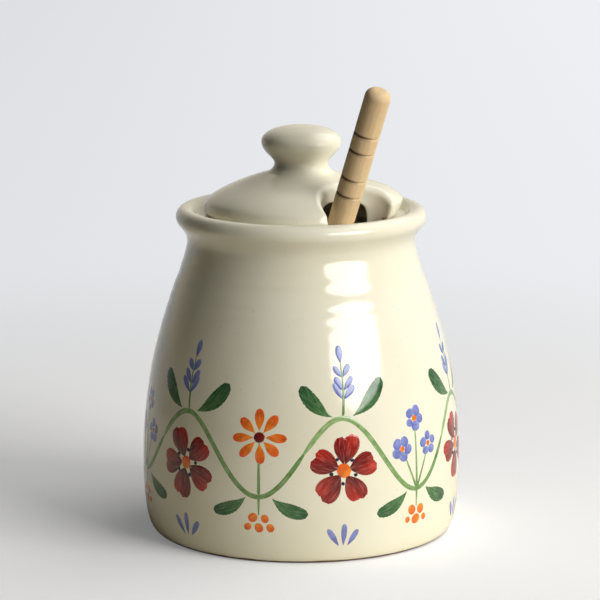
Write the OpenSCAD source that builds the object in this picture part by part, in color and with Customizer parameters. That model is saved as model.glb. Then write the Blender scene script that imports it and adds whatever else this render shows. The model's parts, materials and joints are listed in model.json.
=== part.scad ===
// Pottery honey pot with a lift-off lid and a wooden dipper.
// Millimetres. The origin is the centre of the foot, on the table. +Z is up, and the front is -Y.
// Headings are degrees from the front towards +X, seen from above.

/* [Pot] */
// Height of the rim above the table
pot_h = 103.5; // [95:0.5:120]
// Widest diameter of the belly
belly_d = 101; // [96:0.5:112]
// Height of the widest place
belly_z = 22; // [16:1:30]
// Diameter of the foot where it meets the table
foot_d = 92.8; // [84:0.2:95]
// Outside diameter of the neck
neck_d = 72.2; // [71:0.2:80]
// Depth of the neck's narrowest place under the rim
neck_drop = 10.5; // [9:0.5:16]
// Wall thickness of the pot
wall = 5; // [3.5:0.25:5.5]
// Thickness of the floor inside the foot ring
floor_t = 5; // [4:0.5:9]
// Depth of the hollow under the foot
foot_hollow = 1.5; // [0.5:0.25:3]
// Width of the foot ring's flat face
foot_ring_w = 8; // [5:0.5:14]
// How far the rounding between floor and wall reaches in over the floor
floor_round = 12; // [8:1:16]

/* [Rim and gallery] */
// Height of the rolled lip's thickest place under its crest
lip_drop = 3.1; // [2.5:0.1:4]
// Diameter of the lip's crest
crest_d = 73.4; // [73:0.1:76]
// How far the lip rolls outwards from its crest
lip_out = 2.9; // [2:0.1:4]
// How far the lip rolls inwards from its crest
lip_in = 3.5; // [2.5:0.1:4]
// Depth of the gallery, the ledge that holds the lid, under the rim
gallery_drop = 2.5; // [2:0.1:5]
// Thickness of the gallery at its inner edge
gallery_t = 4; // [3:0.25:6]
// Fall of the gallery's underside for each millimetre outwards
gallery_slope = 1.1; // [0.8:0.1:1.5]
// Diameter of the throat, the hole inside the gallery
throat_d = 57; // [55:0.5:58]
// Rounding of the throat's upper edge
throat_round = 0.8; // [0.4:0.1:1.2]

/* [Lid] */
// Free space between the lid's edge and the lip
lid_play = 2.5; // [1:0.1:4]
// Free space between the lid's flange and the throat
flange_play = 1; // [0.6:0.1:1.5]
// Gap under the resting lid and under the resting dipper
rest_gap = 0.2; // [0.1:0.05:0.4]
// Height of the lid's crown above its seat
crown_rise = 13.2; // [11:0.2:17]
// Height of the rounded edge of the lid
edge_h = 3.4; // [2.5:0.1:5]
// Thickness of the dome
dome_t = 5.2; // [4:0.1:6.5]
// How far the rounding of the hollow reaches in from the flange
hollow_round = 9.9; // [6:0.1:14]
// How far the flange reaches down past the seat
flange_h = 3.2; // [2:0.2:4]
// Thickness of the flange
flange_t = 5.2; // [3.4:0.2:6]

/* [Notch] */
// Width of the notch for the dipper
notch_w = 24.4; // [23.8:0.2:28]
// How far the notch reaches in from the lid's edge
notch_depth = 12.9; // [12.7:0.1:15]
// Radius of the notch's inner corners
notch_corner = 9.5; // [5:0.5:9.5]
// Heading of the notch
notch_heading = 40.5; // [38:0.5:43]

/* [Knob] */
// Widest diameter of the knob
knob_d = 25.2; // [20:0.2:32]
// Diameter of the knob's neck
knob_neck_d = 17; // [13:0.2:19]
// Diameter of the knob's base on the crown
knob_base_d = 21.4; // [20:0.2:22]
// Height of the knob above the crown
knob_h = 14.8; // [12:0.2:20]

/* [Dipper] */
// Length of the whole dipper
dipper_len = 148; // [140:1:165]
// Diameter of the handle
handle_d = 8.1; // [6:0.1:8.2]
// Rounding of the handle's top edge
handle_round = 2.6; // [0.5:0.1:2.9]
// Distance of the first pair of scored rings from the top
ring_top = 15.1; // [8:0.1:25]
// Distance between the two rings of a pair
ring_pair = 5.7; // [3:0.1:8]
// Distance between the first and the second pair
ring_step = 15.1; // [12:0.1:20]
// Depth of a scored ring
ring_depth = 0.35; // [0.2:0.05:0.6]
// Width of a scored ring
ring_w = 0.9; // [0.5:0.1:1.5]
// Diameter of the ribbed head
head_d = 21; // [17:0.5:22]
// Length of the head
head_len = 36; // [32:1:40]
// Diameter of the head between its ribs
head_core_d = 12; // [11:0.5:13]
// How far the top end of the head stands out past its core
head_end_step = 0.6; // [0.2:0.1:2]
// Width of a groove between ribs
groove_w = 2; // [1:0.25:2.5]
// Distance from one groove to the next
groove_pitch = 4.4; // [3.8:0.1:5]
// Number of grooves
groove_n = 6; // [3:1:6]
// Depth of the head's blind hole for the handle
socket_depth = 14; // [8:1:18]
// Glue gap around the handle in its hole
glue_gap = 0.05; // [0.02:0.01:0.1]
// Lean of the dipper from upright
dipper_lean = 22; // [20:0.5:23]
// Heading that the dipper leans towards
dipper_heading = 42; // [40:0.5:44]
// Heading of the place where the dipper leans on the throat's edge
rest_heading = 30; // [29:0.5:33]
// Gap between the dipper and the throat's edge
lean_gap = 0.3; // [0.2:0.05:0.4]

/* [Hidden] */
$fn = 96;

GLAZE = "ivory";
WOOD = "burlywood";
CURVE_STEPS = 14;
ARC_STEP = 15;
OVERCUT = 1;

// Bevel in the corner between the gallery and the lip
gallery_fillet = 0.6;
// Hollow of the curve where the knob rises from the crown
knob_foot_hollow = 0.7;

// Pot levels and radii
crest_r = crest_d / 2;
lip_z = pot_h - lip_drop;
neck_z = pot_h - neck_drop;
floor_z = foot_hollow + floor_t;
seat_z = pot_h - gallery_drop;
throat_r = throat_d / 2;
gallery_r = crest_r - lip_in;

// Lid levels and radii, measured from the gallery that carries it
lid_z = seat_z + rest_gap;
lid_r = gallery_r - lid_play;
crown_z = lid_z + crown_rise;
flange_r = throat_r - flange_play;
flange_in_r = flange_r - flange_t;
knob_base_r = knob_base_d / 2;

// Dipper, measured along its own axis from the tip of its head
handle_r = handle_d / 2;
head_r = head_d / 2;
head_core_r = head_core_d / 2;
head_end_r = head_core_r + head_end_step;
handle_start = head_len - socket_depth;
handle_len = dipper_len - handle_start;
first_groove = head_r - groove_w;

// The dipper leans on the throat's rounded edge: its axis keeps the rounding's radius, the
// handle's radius and a gap from the centre of the rounding.
radial_lean = atan(tan(dipper_lean) * cos(dipper_heading - rest_heading));
axis_reach = throat_round + handle_r + lean_gap;
rest_r = throat_r + throat_round - axis_reach * cos(radial_lean);
rest_z = seat_z - throat_round + axis_reach * sin(radial_lean);
rest_point = [rest_r * sin(rest_heading), -rest_r * cos(rest_heading), rest_z];
lean_way = [
    sin(dipper_lean) * sin(dipper_heading),
    -sin(dipper_lean) * cos(dipper_heading),
    cos(dipper_lean)
];
// The head ends in a ball of the head's own radius, which stands on the floor.
ball_z = floor_z + rest_gap + head_r;
ball_centre = rest_point + lean_way * (ball_z - rest_point.z) / lean_way.z;
dipper_tip = ball_centre - lean_way * head_r;

// Curve from a to d that leaves a towards b and reaches d from c. Where it is called, each bare
// fraction says how far a handle reaches, as a share of the curve's own width or height.
function bezier(a, b, c, d) = [
    for (i = [0:CURVE_STEPS])
        let (t = i / CURVE_STEPS, s = 1 - t)
            s * s * s * a + 3 * s * s * t * b + 3 * s * t * t * c + t * t * t * d
];

// Points of an ellipse's arc
function arc(centre, rx, ry, from, to) = [
    for (a = [from:(to > from ? ARC_STEP : -ARC_STEP):to])
        centre + [rx * cos(a), ry * sin(a)]
];

// Points moved to the left of their own direction by a distance
function inset(points, distance) = [
    for (i = [0:len(points) - 1])
        let (
            before = points[max(i - 1, 0)],
            after = points[min(i + 1, len(points) - 1)],
            way = (after - before) / norm(after - before)
        )
            points[i] + distance * [-way.y, way.x]
];

// Outside of the foot and belly, from the table up to the widest place
function foot_curve() =
    let (foot = [foot_d / 2, 0], belly = [belly_d / 2, belly_z], bulge = belly.x - foot.x)
        bezier(foot, foot + [0.64 * bulge, 0.26 * bulge], belly - [0, 0.675 * belly_z], belly);

// Outside of the shoulder, from the widest place up to the neck
function shoulder_curve() =
    let (belly = [belly_d / 2, belly_z], neck = [neck_d / 2, neck_z], rise = neck_z - belly_z)
        bezier(belly, belly + [0, 0.575 * rise], neck - [0, 0.12 * rise], neck);

// Outside of the neck, from its narrowest place to the underside of the lip
function neck_curve() =
    let (
        neck = [neck_d / 2, neck_z],
        lip = [crest_r + lip_out * cos(30), lip_z - lip_drop * sin(30)],
        rise = lip.y - neck.y
    )
        bezier(neck, neck + [0, 0.48 * rise], lip - [0.12 * rise, 0.22 * rise], lip);

// Inside of the wall, from the floor up to the underside of the gallery
function inside_curve() =
    let (
        under_gallery = seat_z - gallery_t - gallery_slope * (neck_d / 2 - wall - throat_r),
        side = inset(concat(foot_curve(), shoulder_curve()), wall),
        corner = side[CURVE_STEPS],
        upper = [for (p = side) if (p.y > corner.y && p.y < under_gallery) p],
        start = [corner.x - floor_round, floor_z]
    )
        concat(
            bezier(
                start,
                start + [0.67 * floor_round, 0],
                corner - [0, 0.6 * (corner.y - floor_z)],
                corner
            ),
            upper,
            [[neck_d / 2 - wall, under_gallery], [throat_r, seat_z - gallery_t]]
        );

// Inside of the pot from the floor over the gallery to the lip, with the throat's edges rounded
function pot_inside() = concat(
    [[0, floor_z]],
    inside_curve(),
    arc([throat_r + throat_round, seat_z - throat_round], throat_round, throat_round, 180, 90),
    [[gallery_r - gallery_fillet, seat_z], [gallery_r, seat_z + gallery_fillet]]
);

module pot_section() {
    lip_centre = [crest_r, lip_z];
    ring_in_r = foot_d / 2 - foot_ring_w;
    inside = pot_inside();
    polygon(concat(
        [[0, foot_hollow], [ring_in_r - foot_hollow, foot_hollow], [ring_in_r, 0]],
        foot_curve(),
        shoulder_curve(),
        neck_curve(),
        arc(lip_centre, lip_out, lip_drop, -15, 90),
        [for (p = arc(lip_centre, lip_in, lip_drop, 105, 180)) if (p.y > seat_z + gallery_fillet) p],
        [for (i = [len(inside) - 1:-1:0]) inside[i]]
    ));
}

module pot() {
    color(GLAZE) rotate_extrude() pot_section();
}

// Half section of the lid: rounded edge, dome, flat crown under the knob, hollow and flange
module lid_section() {
    edge_r = edge_h / 2;
    edge_centre = [lid_r - edge_r, lid_z + edge_r];
    crown = [knob_base_r, crown_z];
    eave = [lid_r - 0.12 * edge_h, lid_z + edge_h];
    rise = crown.y - eave.y;
    hollow_z = crown_z - dome_t;
    polygon(concat(
        [[0, hollow_z], [0, crown_z]],
        bezier(crown, crown + [0.45 * (eave.x - crown.x), -0.25 * rise], eave + [0, 0.24 * rise], eave),
        arc(edge_centre, edge_r, edge_r, 0, -90),
        [[flange_r, lid_z], [flange_r, seat_z - flange_h], [flange_in_r, seat_z - flange_h]],
        bezier(
            [flange_in_r, seat_z],
            [flange_in_r, seat_z + 0.24 * (hollow_z - seat_z)],
            [flange_in_r - 0.26 * hollow_round, hollow_z - 0.22 * (hollow_z - seat_z)],
            [flange_in_r - hollow_round, hollow_z]
        )
    ));
}

// Upright cutter for the notch: straight sides, round inner corners, open at the lid's edge
module notch_cutter() {
    inner = lid_r - notch_depth;
    corner_x = notch_w / 2 - notch_corner;
    bottom = seat_z - flange_h - OVERCUT;
    rotate([0, 0, notch_heading])
        translate([0, 0, bottom])
            linear_extrude(crown_z - bottom + OVERCUT) {
                for (side = [-1, 1])
                    translate([side * corner_x, -inner - notch_corner]) circle(notch_corner);
                translate([-corner_x, -lid_r]) square([2 * corner_x, lid_r - inner]);
                translate([-notch_w / 2, -2 * lid_r])
                    square([notch_w, 2 * lid_r - inner - notch_corner]);
            }
}

module lid() {
    color(GLAZE) difference() {
        rotate_extrude() lid_section();
        notch_cutter();
    }
}

module knob() {
    knob_r = knob_d / 2;
    neck_r = knob_neck_d / 2;
    base = [knob_base_r, crown_z];
    neck = [neck_r, crown_z + 0.19 * knob_h];
    widest = [knob_r, crown_z + 0.66 * knob_h];
    top = [0, crown_z + knob_h];
    flare = widest.y - neck.y;
    color(GLAZE) rotate_extrude() polygon(concat(
        [[0, crown_z]],
        bezier(
            base,
            base + 0.25 * (neck - base) - [knob_foot_hollow, 0],
            neck - [0, 0.4 * (neck.y - base.y)],
            neck
        ),
        bezier(neck, neck + [0, 0.3 * flare], widest - [0, 0.5 * flare], widest),
        bezier(widest, widest + [0, 0.52 * (top.y - widest.y)], top + [0.68 * knob_r, 0], top)
    ));
}

// Places what is drawn along +Z from the tip of the dipper on its leaning axis
module on_dipper_axis() {
    translate(dipper_tip)
        rotate([dipper_lean, 0, dipper_heading])
            children();
}

module dipper_handle() {
    color(WOOD) on_dipper_axis() rotate_extrude() difference() {
        translate([0, handle_start]) union() {
            square([handle_r, handle_len - handle_round]);
            square([handle_r - handle_round, handle_len]);
            translate([handle_r - handle_round, handle_len - handle_round]) circle(handle_round);
        }
        translate([-handle_r, handle_start]) square([handle_r, handle_len]);
        for (pair = [0, 1], ring = [0, 1])
            translate([handle_r, dipper_len - ring_top - pair * ring_step - ring * ring_pair])
                polygon([[-ring_depth, 0], [OVERCUT, -ring_w], [OVERCUT, ring_w]]);
    }
}

// Radius of the head's outline at a distance from its tip: a ball end, then a slow taper
function head_outline(s) =
    s < head_r
        ? sqrt(head_r * head_r - (head_r - s) * (head_r - s))
        : head_end_r + (head_r - head_end_r) * cos(90 * (s - head_r) / (head_len - head_r));

module dipper_head() {
    steps = 3 * CURVE_STEPS;
    socket_r = handle_r + glue_gap;
    color(WOOD) on_dipper_axis() rotate_extrude() difference() {
        polygon(concat(
            [for (i = [0:steps]) let (s = head_len * i / steps) [head_outline(s), s]],
            [[0, head_len]]
        ));
        for (i = [0:groove_n - 1])
            translate([head_core_r, first_groove + i * groove_pitch]) square([head_r, groove_w]);
        translate([-OVERCUT, handle_start]) square([OVERCUT + socket_r, socket_depth + OVERCUT]);
    }
}

pot();
lid();
knob();
dipper_handle();
dipper_head();
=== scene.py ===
"""A glazed pottery honey pot with a lift-off lid, a leaning wooden dipper and a painted garland.

Shapes are drawn in millimetres and become metres when a mesh is made. Headings are degrees from the
front (-Y) towards +X, seen from above. A profile is a list of (radius, height) points.
"""

import json
import math
import random

import bpy
import numpy as np
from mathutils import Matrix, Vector


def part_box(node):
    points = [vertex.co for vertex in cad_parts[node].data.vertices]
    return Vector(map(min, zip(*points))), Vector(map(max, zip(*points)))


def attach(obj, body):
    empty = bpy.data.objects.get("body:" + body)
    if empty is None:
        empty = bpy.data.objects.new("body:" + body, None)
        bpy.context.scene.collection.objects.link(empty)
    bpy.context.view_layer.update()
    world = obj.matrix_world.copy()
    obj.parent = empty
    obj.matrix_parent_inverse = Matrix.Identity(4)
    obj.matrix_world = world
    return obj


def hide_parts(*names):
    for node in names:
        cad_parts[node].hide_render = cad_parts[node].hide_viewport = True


MM = 0.001

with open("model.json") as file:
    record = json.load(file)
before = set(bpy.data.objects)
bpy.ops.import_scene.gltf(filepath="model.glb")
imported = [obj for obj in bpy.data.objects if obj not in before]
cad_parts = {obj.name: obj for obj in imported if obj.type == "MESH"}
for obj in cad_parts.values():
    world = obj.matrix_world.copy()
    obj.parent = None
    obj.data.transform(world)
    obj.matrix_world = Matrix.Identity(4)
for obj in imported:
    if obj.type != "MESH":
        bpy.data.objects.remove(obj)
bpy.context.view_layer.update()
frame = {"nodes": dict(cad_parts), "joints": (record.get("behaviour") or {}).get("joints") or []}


def box_mm(node):
    """Lowest and highest corner of a solid of the frame, in millimetres."""
    low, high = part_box(node)
    return low / MM, high / MM


# Pot sizes: its height and belly come from the frame, the rest are driving sizes.
pot_low, pot_high = box_mm("pot")
POT_H = pot_high.z
BELLY_R = (pot_high.x - pot_low.x) / 2
BELLY_Z = 22
FOOT_R = 46.4
NECK_R = 36.1
NECK_DROP = 10.5
NECK_Z = POT_H - NECK_DROP
WALL = 5
FLOOR_Z = 6.5
FLOOR_ROUND = 12
FOOT_HOLLOW = 1.5
FOOT_RING_W = 8
CREST_R = 36.7
LIP_DROP = 3.1
LIP_OUT = 2.9
LIP_IN = 3.5
LIP_Z = POT_H - LIP_DROP
GALLERY_DROP = 2.5
SEAT_Z = POT_H - GALLERY_DROP
THROAT_R = 28.5
THROAT_ROUND = 0.8
GALLERY_T = 4
GALLERY_R = CREST_R - LIP_IN
GALLERY_FILLET = 0.6
GALLERY_SLOPE = 1.1
LIP_STOP = 0.7
LIP_MEETS = math.radians(30)
POT_SIDES = 256

# Reach of the small roundings on the foot ring and under the gallery
BLEND = 0.5

# How far the pot's curves are pulled at their ends, as shares of their own rise or width
FOOT_PULL = np.array([0.64, 0.26])
BELLY_PULL_DOWN = 0.675
BELLY_PULL_UP = 0.575
NECK_PULL_DOWN = 0.12
NECK_PULL_UP = 0.48
LIP_PULL = np.array([0.12, 0.22])
FLOOR_PULL = 0.67
CORNER_PULL = 0.6

# Finger marks of the wheel, each with its height, half width and how far it stands out
FINGER_MARKS = ((78.6, 1.3, 0.10), (75.4, 1.2, 0.07), (82.5, 1.9, -0.10))

# A fine ripple between two heights, how far it stands out and its turn in radians for each millimetre
RIPPLE_LOW = 50
RIPPLE_HIGH = 95
RIPPLE_FADE_IN = 20
RIPPLE_FADE_OUT = 8
RIPPLE_OUT = 0.025
RIPPLE_TURN = 1.35

# Lid and knob sizes
knob_low, knob_high = box_mm("knob")
LID_R = 30.7
REST_GAP = 0.2
LID_Z = SEAT_Z + REST_GAP
CROWN_Z = knob_low.z
KNOB_R = (knob_high.x - knob_low.x) / 2
KNOB_TOP = knob_high.z
KNOB_H = KNOB_TOP - CROWN_Z
KNOB_BASE_R = 10.7
KNOB_NECK_R = 8.5
KNOB_NECK_AT = 0.19
KNOB_WIDE_AT = 0.66
KNOB_FOOT_HOLLOW = 0.7
EDGE_H = 3.4
DOME_T = 5.2
FLANGE_R = 27.5
FLANGE_T = 5.2
FLANGE_H = 3.2
FLANGE_Z = SEAT_Z - FLANGE_H
HOLLOW_ROUND = 9.9
NOTCH_W = 24.4
NOTCH_DEPTH = 12.9
NOTCH_CORNER = 9.5
NOTCH_HEADING = 40.5
NOTCH_ROUND = 1.7
NOTCH_UNDER_ROUND = 0.6
NOTCH_MIDDLE_DROP = DOME_T + 0.2
NOTCH_MIDDLE_SLOPE = 0.59
NOTCH_BLEND = 1.2
LOBE_HEADING = 82
LOBE_SPREAD = 27
LOBE_RISE = 1.8
LOBE_REACH = 1.7
LOBE_FROM_R = 13
LOBE_FULL_R = 27
LOBE_FROM_Z = SEAT_Z + 0.5
LOBE_FULL_Z = SEAT_Z + 3.5
NET_SIZE = 0.42

# How far the curves of lid and knob are pulled at their ends, as shares of their own rise or width
CAP_PULL_OUT = 0.68
CAP_PULL_UP = 0.52
FLARE_PULL_DOWN = 0.5
FLARE_PULL_UP = 0.3
KNOB_FOOT_PULL_DOWN = 0.4
KNOB_FOOT_PULL_BACK = 0.25
DOME_PULL_OUT = 0.45
DOME_PULL_DOWN = 0.25
EAVE_PULL_UP = 0.24
EAVE_IN = 0.12
HOLLOW_PULL_UP = 0.24
HOLLOW_PULL_OUT = 0.26
HOLLOW_PULL_DOWN = 0.22

# Dipper sizes along its axis, measured from the handle's top or from the tip of the head
RING_TOP = 15.1
RING_PAIR = 5.7
RING_STEP = 15.1
RING_DEPTH = 0.35
RING_W = 0.9
RING_REACH = 1.2
RING_POINTS = 25
RING_SHARPNESS = 0.8
HANDLE_STEP = 1.0
SCORCH_W = 0.52
HANDLE_ROUND = 2.6
HEAD_CORE_R = 6
HEAD_END_STEP = 0.6
HEAD_JOIN_STEP = 0.2
HEAD_STEP = 0.1
GROOVE_W = 2
GROOVE_PITCH = 4.4
GROOVE_N = 6
TURNED_SIDES = 64

# Linear colours
CREAM = (0.815, 0.782, 0.64, 1)
CREAM_CLOUD = (0.78, 0.735, 0.565, 1)
CREAM_THROUGH_PAINT = 0.16
SPECK = (0.42, 0.32, 0.19, 1)
CLAY = (0.11, 0.06, 0.032, 1)
CLAY_GRIT = (0.19, 0.11, 0.06, 1)
BEECH = (0.74, 0.555, 0.325, 1)
BEECH_BROAD = (0.66, 0.455, 0.235, 1)
BEECH_STREAK = (0.57, 0.37, 0.175, 1)
BEECH_RAY = (0.47, 0.29, 0.13, 1)
# Colour of the scorched rings, which also lays painted shade on one side of them
SCORCH_AND_SHADE = (0.12, 0.05, 0.02, 1)

# What the paint's colour is multiplied by where it pools and where it thins
POOLED = (0.45, 0.45, 0.50, 1)
THINNED = (1.7, 1.7, 1.7, 1)

# Surfaces: gloss, the glaze's fine ripple as a share of the slow one, and levels of the bare foot in metres
GLAZE_IOR = 1.5
WOOD_IOR = 1.45
POT_ROUGHNESS = 0.1
LID_ROUGHNESS = 0.04
CLAY_ROUGHER = 0.6
WOOD_ROUGHNESS = 0.62
FINE_RIPPLE = 0.04
CLAY_TOP = 0.45 * MM
GLAZE_FOOT = 0.7 * MM
GLAZE_LINE_JITTER = 0.5 * MM

# The rings' scorch is darkened with painted shade on one side of the stick and is faint past its middle, in
# metres
SHADED_SIDE_X = -3.6 * MM
LIT_SIDE_X = -0.4 * MM
LIT_SIDE_SCORCH = 0.10


# Curves and meshes


def bezier(a, b, c, d, steps):
    """Points from a to d on the curve that leaves a towards b and reaches d from c."""
    a, b, c, d = (np.array(p, float) for p in (a, b, c, d))
    t = np.linspace(0, 1, steps + 1)[:, None]
    s = 1 - t
    return list(s**3 * a + 3 * s * s * t * b + 3 * s * t * t * c + t**3 * d)


def arc(centre, rx, ry, start, stop, steps):
    """Points on an ellipse's arc between two angles in degrees."""
    angles = np.radians(np.linspace(start, stop, steps + 1))
    return [np.array([centre[0] + rx * math.cos(a), centre[1] + ry * math.sin(a)]) for a in angles]


def inset(points, distance):
    """Points moved to the left of their own direction."""
    moved = []
    for i, point in enumerate(points):
        way = points[min(i + 1, len(points) - 1)] - points[max(i - 1, 0)]
        way = way / np.linalg.norm(way)
        moved.append(point + distance * np.array([-way[1], way[0]]))
    return moved


def make_mesh(name, points, faces):
    """A smooth-shaded object from points in millimetres."""
    mesh = bpy.data.meshes.new(name)
    mesh.from_pydata([tuple(p) for p in np.array(points) * MM], [], faces)
    mesh.validate()
    mesh.shade_smooth()
    obj = bpy.data.objects.new(name, mesh)
    bpy.context.scene.collection.objects.link(obj)
    return obj


def revolve(profile, segments):
    """Points and faces of a profile turned round the Z axis. Its first and last points lie on the axis."""
    angles = np.linspace(0, 2 * math.pi, segments, endpoint=False)
    rings = profile[1:-1]
    points = [(0, 0, profile[0][1])]
    for radius, height in rings:
        points += [(radius * math.cos(a), radius * math.sin(a), height) for a in angles]
    points.append((0, 0, profile[-1][1]))
    last = len(points) - 1
    faces = []
    for j in range(segments):
        k = (j + 1) % segments
        faces.append((0, 1 + k, 1 + j))
        for i in range(len(rings) - 1):
            row = 1 + i * segments
            faces.append((row + j, row + k, row + segments + k, row + segments + j))
        row = last - segments
        faces.append((row + j, row + k, last))
    return points, faces


# Profiles


def throwing_rings(z):
    """How far the finger ridges of the wheel stand out at a height."""
    marks = sum(out * math.exp(-(((z - height) / width) ** 2)) for height, width, out in FINGER_MARKS)
    fade = min(max((z - RIPPLE_LOW) / RIPPLE_FADE_IN, 0), 1)
    fade *= min(max((RIPPLE_HIGH - z) / RIPPLE_FADE_OUT, 0), 1)
    return marks + fade * RIPPLE_OUT * math.sin(z * RIPPLE_TURN)


def shoulder_curve(steps):
    """The outside from the belly's widest line to the neck."""
    belly = np.array([BELLY_R, BELLY_Z])
    neck = np.array([NECK_R, NECK_Z])
    rise = NECK_Z - BELLY_Z
    return bezier(belly, belly + [0, BELLY_PULL_UP * rise], neck - [0, NECK_PULL_DOWN * rise], neck, steps)


def pot_outside():
    """The pot's outside from the foot's edge to the underside of the lip."""
    foot = np.array([FOOT_R, 0.0])
    belly = np.array([BELLY_R, BELLY_Z])
    neck = np.array([NECK_R, NECK_Z])
    lip = np.array([CREST_R + LIP_OUT * math.cos(LIP_MEETS), LIP_Z - LIP_DROP * math.sin(LIP_MEETS)])
    bulge = BELLY_R - FOOT_R
    flare = lip[1] - neck[1]
    leave = foot + bulge * FOOT_PULL
    foot_curve = bezier(foot, leave, belly - [0, BELLY_PULL_DOWN * BELLY_Z], belly, steps=26)
    neck_curve = bezier(neck, neck + [0, NECK_PULL_UP * flare], lip - flare * LIP_PULL, lip, steps=12)
    points = foot_curve + shoulder_curve(steps=96)[1:] + neck_curve[1:]
    return [p + np.array([throwing_rings(p[1]), 0]) for p in points]


def pot_inside():
    """The pot's inside from the middle of the floor to the gallery's outer edge."""
    shoulder = inset(shoulder_curve(steps=48), WALL)
    corner = shoulder[0]
    start = np.array([corner[0] - FLOOR_ROUND, FLOOR_Z])
    bore_r = NECK_R - WALL
    shelf = SEAT_Z - GALLERY_T
    under_gallery = shelf - GALLERY_SLOPE * (bore_r - THROAT_R)
    floor_curve = bezier(
        start,
        start + [FLOOR_PULL * FLOOR_ROUND, 0],
        corner - [0, CORNER_PULL * (corner[1] - FLOOR_Z)],
        corner,
        steps=14,
    )
    upper = [p for p in shoulder[1:] if p[1] < under_gallery - 2 * BLEND]
    slope = bezier(
        (bore_r, under_gallery - BLEND),
        (bore_r, under_gallery + 0.6 * BLEND),
        (THROAT_R + 1.2 * BLEND, shelf - BLEND),
        (THROAT_R, shelf + 1.2 * BLEND),
        steps=8,
    )
    middle = [np.array([0, FLOOR_Z]), np.array([start[0] / 2, FLOOR_Z])]
    throat_centre = (THROAT_R + THROAT_ROUND, SEAT_Z - THROAT_ROUND)
    throat = arc(throat_centre, THROAT_ROUND, THROAT_ROUND, start=180, stop=90, steps=6)
    ledge_centre = (GALLERY_R - GALLERY_FILLET, SEAT_Z + GALLERY_FILLET)
    ledge = arc(ledge_centre, GALLERY_FILLET, GALLERY_FILLET, start=-90, stop=0, steps=4)
    return middle + floor_curve + upper + slope + throat + ledge


def pot_profile():
    """The pot's whole section: hollow foot, outside, rolled lip, gallery and inside."""
    ring_in = FOOT_R - FOOT_RING_W
    under = [np.array(p) for p in ((0, FOOT_HOLLOW), (ring_in - FOOT_HOLLOW, FOOT_HOLLOW))]
    under += bezier(
        (ring_in - 1.2 * BLEND, 1.2 * BLEND),
        (ring_in - 0.4 * BLEND, 0.4 * BLEND),
        (ring_in, 0),
        (ring_in + BLEND, 0),
        steps=4,
    )
    under += [np.array([FOOT_R - BLEND, 0])]
    crest = (CREST_R, LIP_Z)
    lip_outside = arc(crest, LIP_OUT, LIP_DROP, start=-22, stop=90, steps=18)
    lip_inside = arc(crest, LIP_IN, LIP_DROP, start=96, stop=180, steps=14)
    lip_inside = [p for p in lip_inside if p[1] > SEAT_Z + LIP_STOP]
    return under + pot_outside() + lip_outside + lip_inside + pot_inside()[::-1]


def knob_outline():
    """The knob from its top past its widest line and its neck to its base on the crown."""
    top = np.array([0.0, KNOB_TOP])
    widest = np.array([KNOB_R, CROWN_Z + KNOB_WIDE_AT * KNOB_H])
    neck = np.array([KNOB_NECK_R, CROWN_Z + KNOB_NECK_AT * KNOB_H])
    base = np.array([KNOB_BASE_R, CROWN_Z])
    cap = top[1] - widest[1]
    flare = widest[1] - neck[1]
    fall = neck[1] - base[1]
    leave = top + [CAP_PULL_OUT * KNOB_R, 0]
    points = bezier(top, leave, widest + [0, CAP_PULL_UP * cap], widest, steps=24)
    points += bezier(
        widest, widest - [0, FLARE_PULL_DOWN * flare], neck + [0, FLARE_PULL_UP * flare], neck, steps=20
    )[1:]
    points += bezier(
        neck,
        neck - [0, KNOB_FOOT_PULL_DOWN * fall],
        base + KNOB_FOOT_PULL_BACK * (neck - base) - [KNOB_FOOT_HOLLOW, 0],
        base,
        steps=10,
    )[1:]
    return points


def dome_outline():
    """The dome from the knob's base to the rounded edge that lies in the gallery."""
    base = np.array([KNOB_BASE_R, CROWN_Z])
    eave = np.array([LID_R - EAVE_IN * EDGE_H, LID_Z + EDGE_H])
    run = eave[0] - base[0]
    rise = base[1] - eave[1]
    edge_r = EDGE_H / 2
    leave = base + [DOME_PULL_OUT * run, -DOME_PULL_DOWN * rise]
    dome = bezier(base, leave, eave + [0, EAVE_PULL_UP * rise], eave, steps=36)[1:]
    return dome + arc((LID_R - edge_r, LID_Z + edge_r), edge_r, edge_r, start=0, stop=-90, steps=12)


def lid_underside():
    """The flange and the hollow, from the lid's edge to its middle."""
    hollow_z = CROWN_Z - DOME_T
    deep = hollow_z - SEAT_Z
    flange_in = FLANGE_R - FLANGE_T
    flange = [np.array(p) for p in ((FLANGE_R, LID_Z), (FLANGE_R, FLANGE_Z), (flange_in, FLANGE_Z))]
    hollow = bezier(
        (flange_in, SEAT_Z),
        (flange_in, SEAT_Z + HOLLOW_PULL_UP * deep),
        (flange_in - HOLLOW_PULL_OUT * HOLLOW_ROUND, hollow_z - HOLLOW_PULL_DOWN * deep),
        (flange_in - HOLLOW_ROUND, hollow_z),
        steps=14,
    )
    return flange + hollow + [np.array([0.0, hollow_z])]


def lid_profile():
    """The section of lid and knob together, as one closed outline."""
    return knob_outline() + dome_outline() + lid_underside()


# Distance fields, which say how far a point lies outside a form

# Points are one and the same when the square of their distance is less than this
SAME_POINT = 1e-12


def grid_of_distances(outline, low, high, step):
    """Signed distances to a closed outline on a regular grid over (radius, height)."""
    radii = np.arange(low[0], high[0], step)
    heights = np.arange(low[1], high[1], step)
    r, z = np.meshgrid(radii, heights, indexing="ij")
    nearest = np.full(r.shape, np.inf)
    inside = np.zeros(r.shape, bool)
    for a, b in zip(outline, outline[1:] + outline[:1]):
        way = b - a
        length = way @ way
        if length < SAME_POINT:
            continue
        t = np.clip(((r - a[0]) * way[0] + (z - a[1]) * way[1]) / length, 0, 1)
        nearest = np.minimum(nearest, (r - a[0] - t * way[0]) ** 2 + (z - a[1] - t * way[1]) ** 2)
        if a[1] != b[1]:
            crosses = ((a[1] > z) != (b[1] > z)) & (r < a[0] + (z - a[1]) * way[0] / way[1])
            inside ^= crosses
    return np.where(inside, -1, 1) * np.sqrt(nearest)


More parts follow.
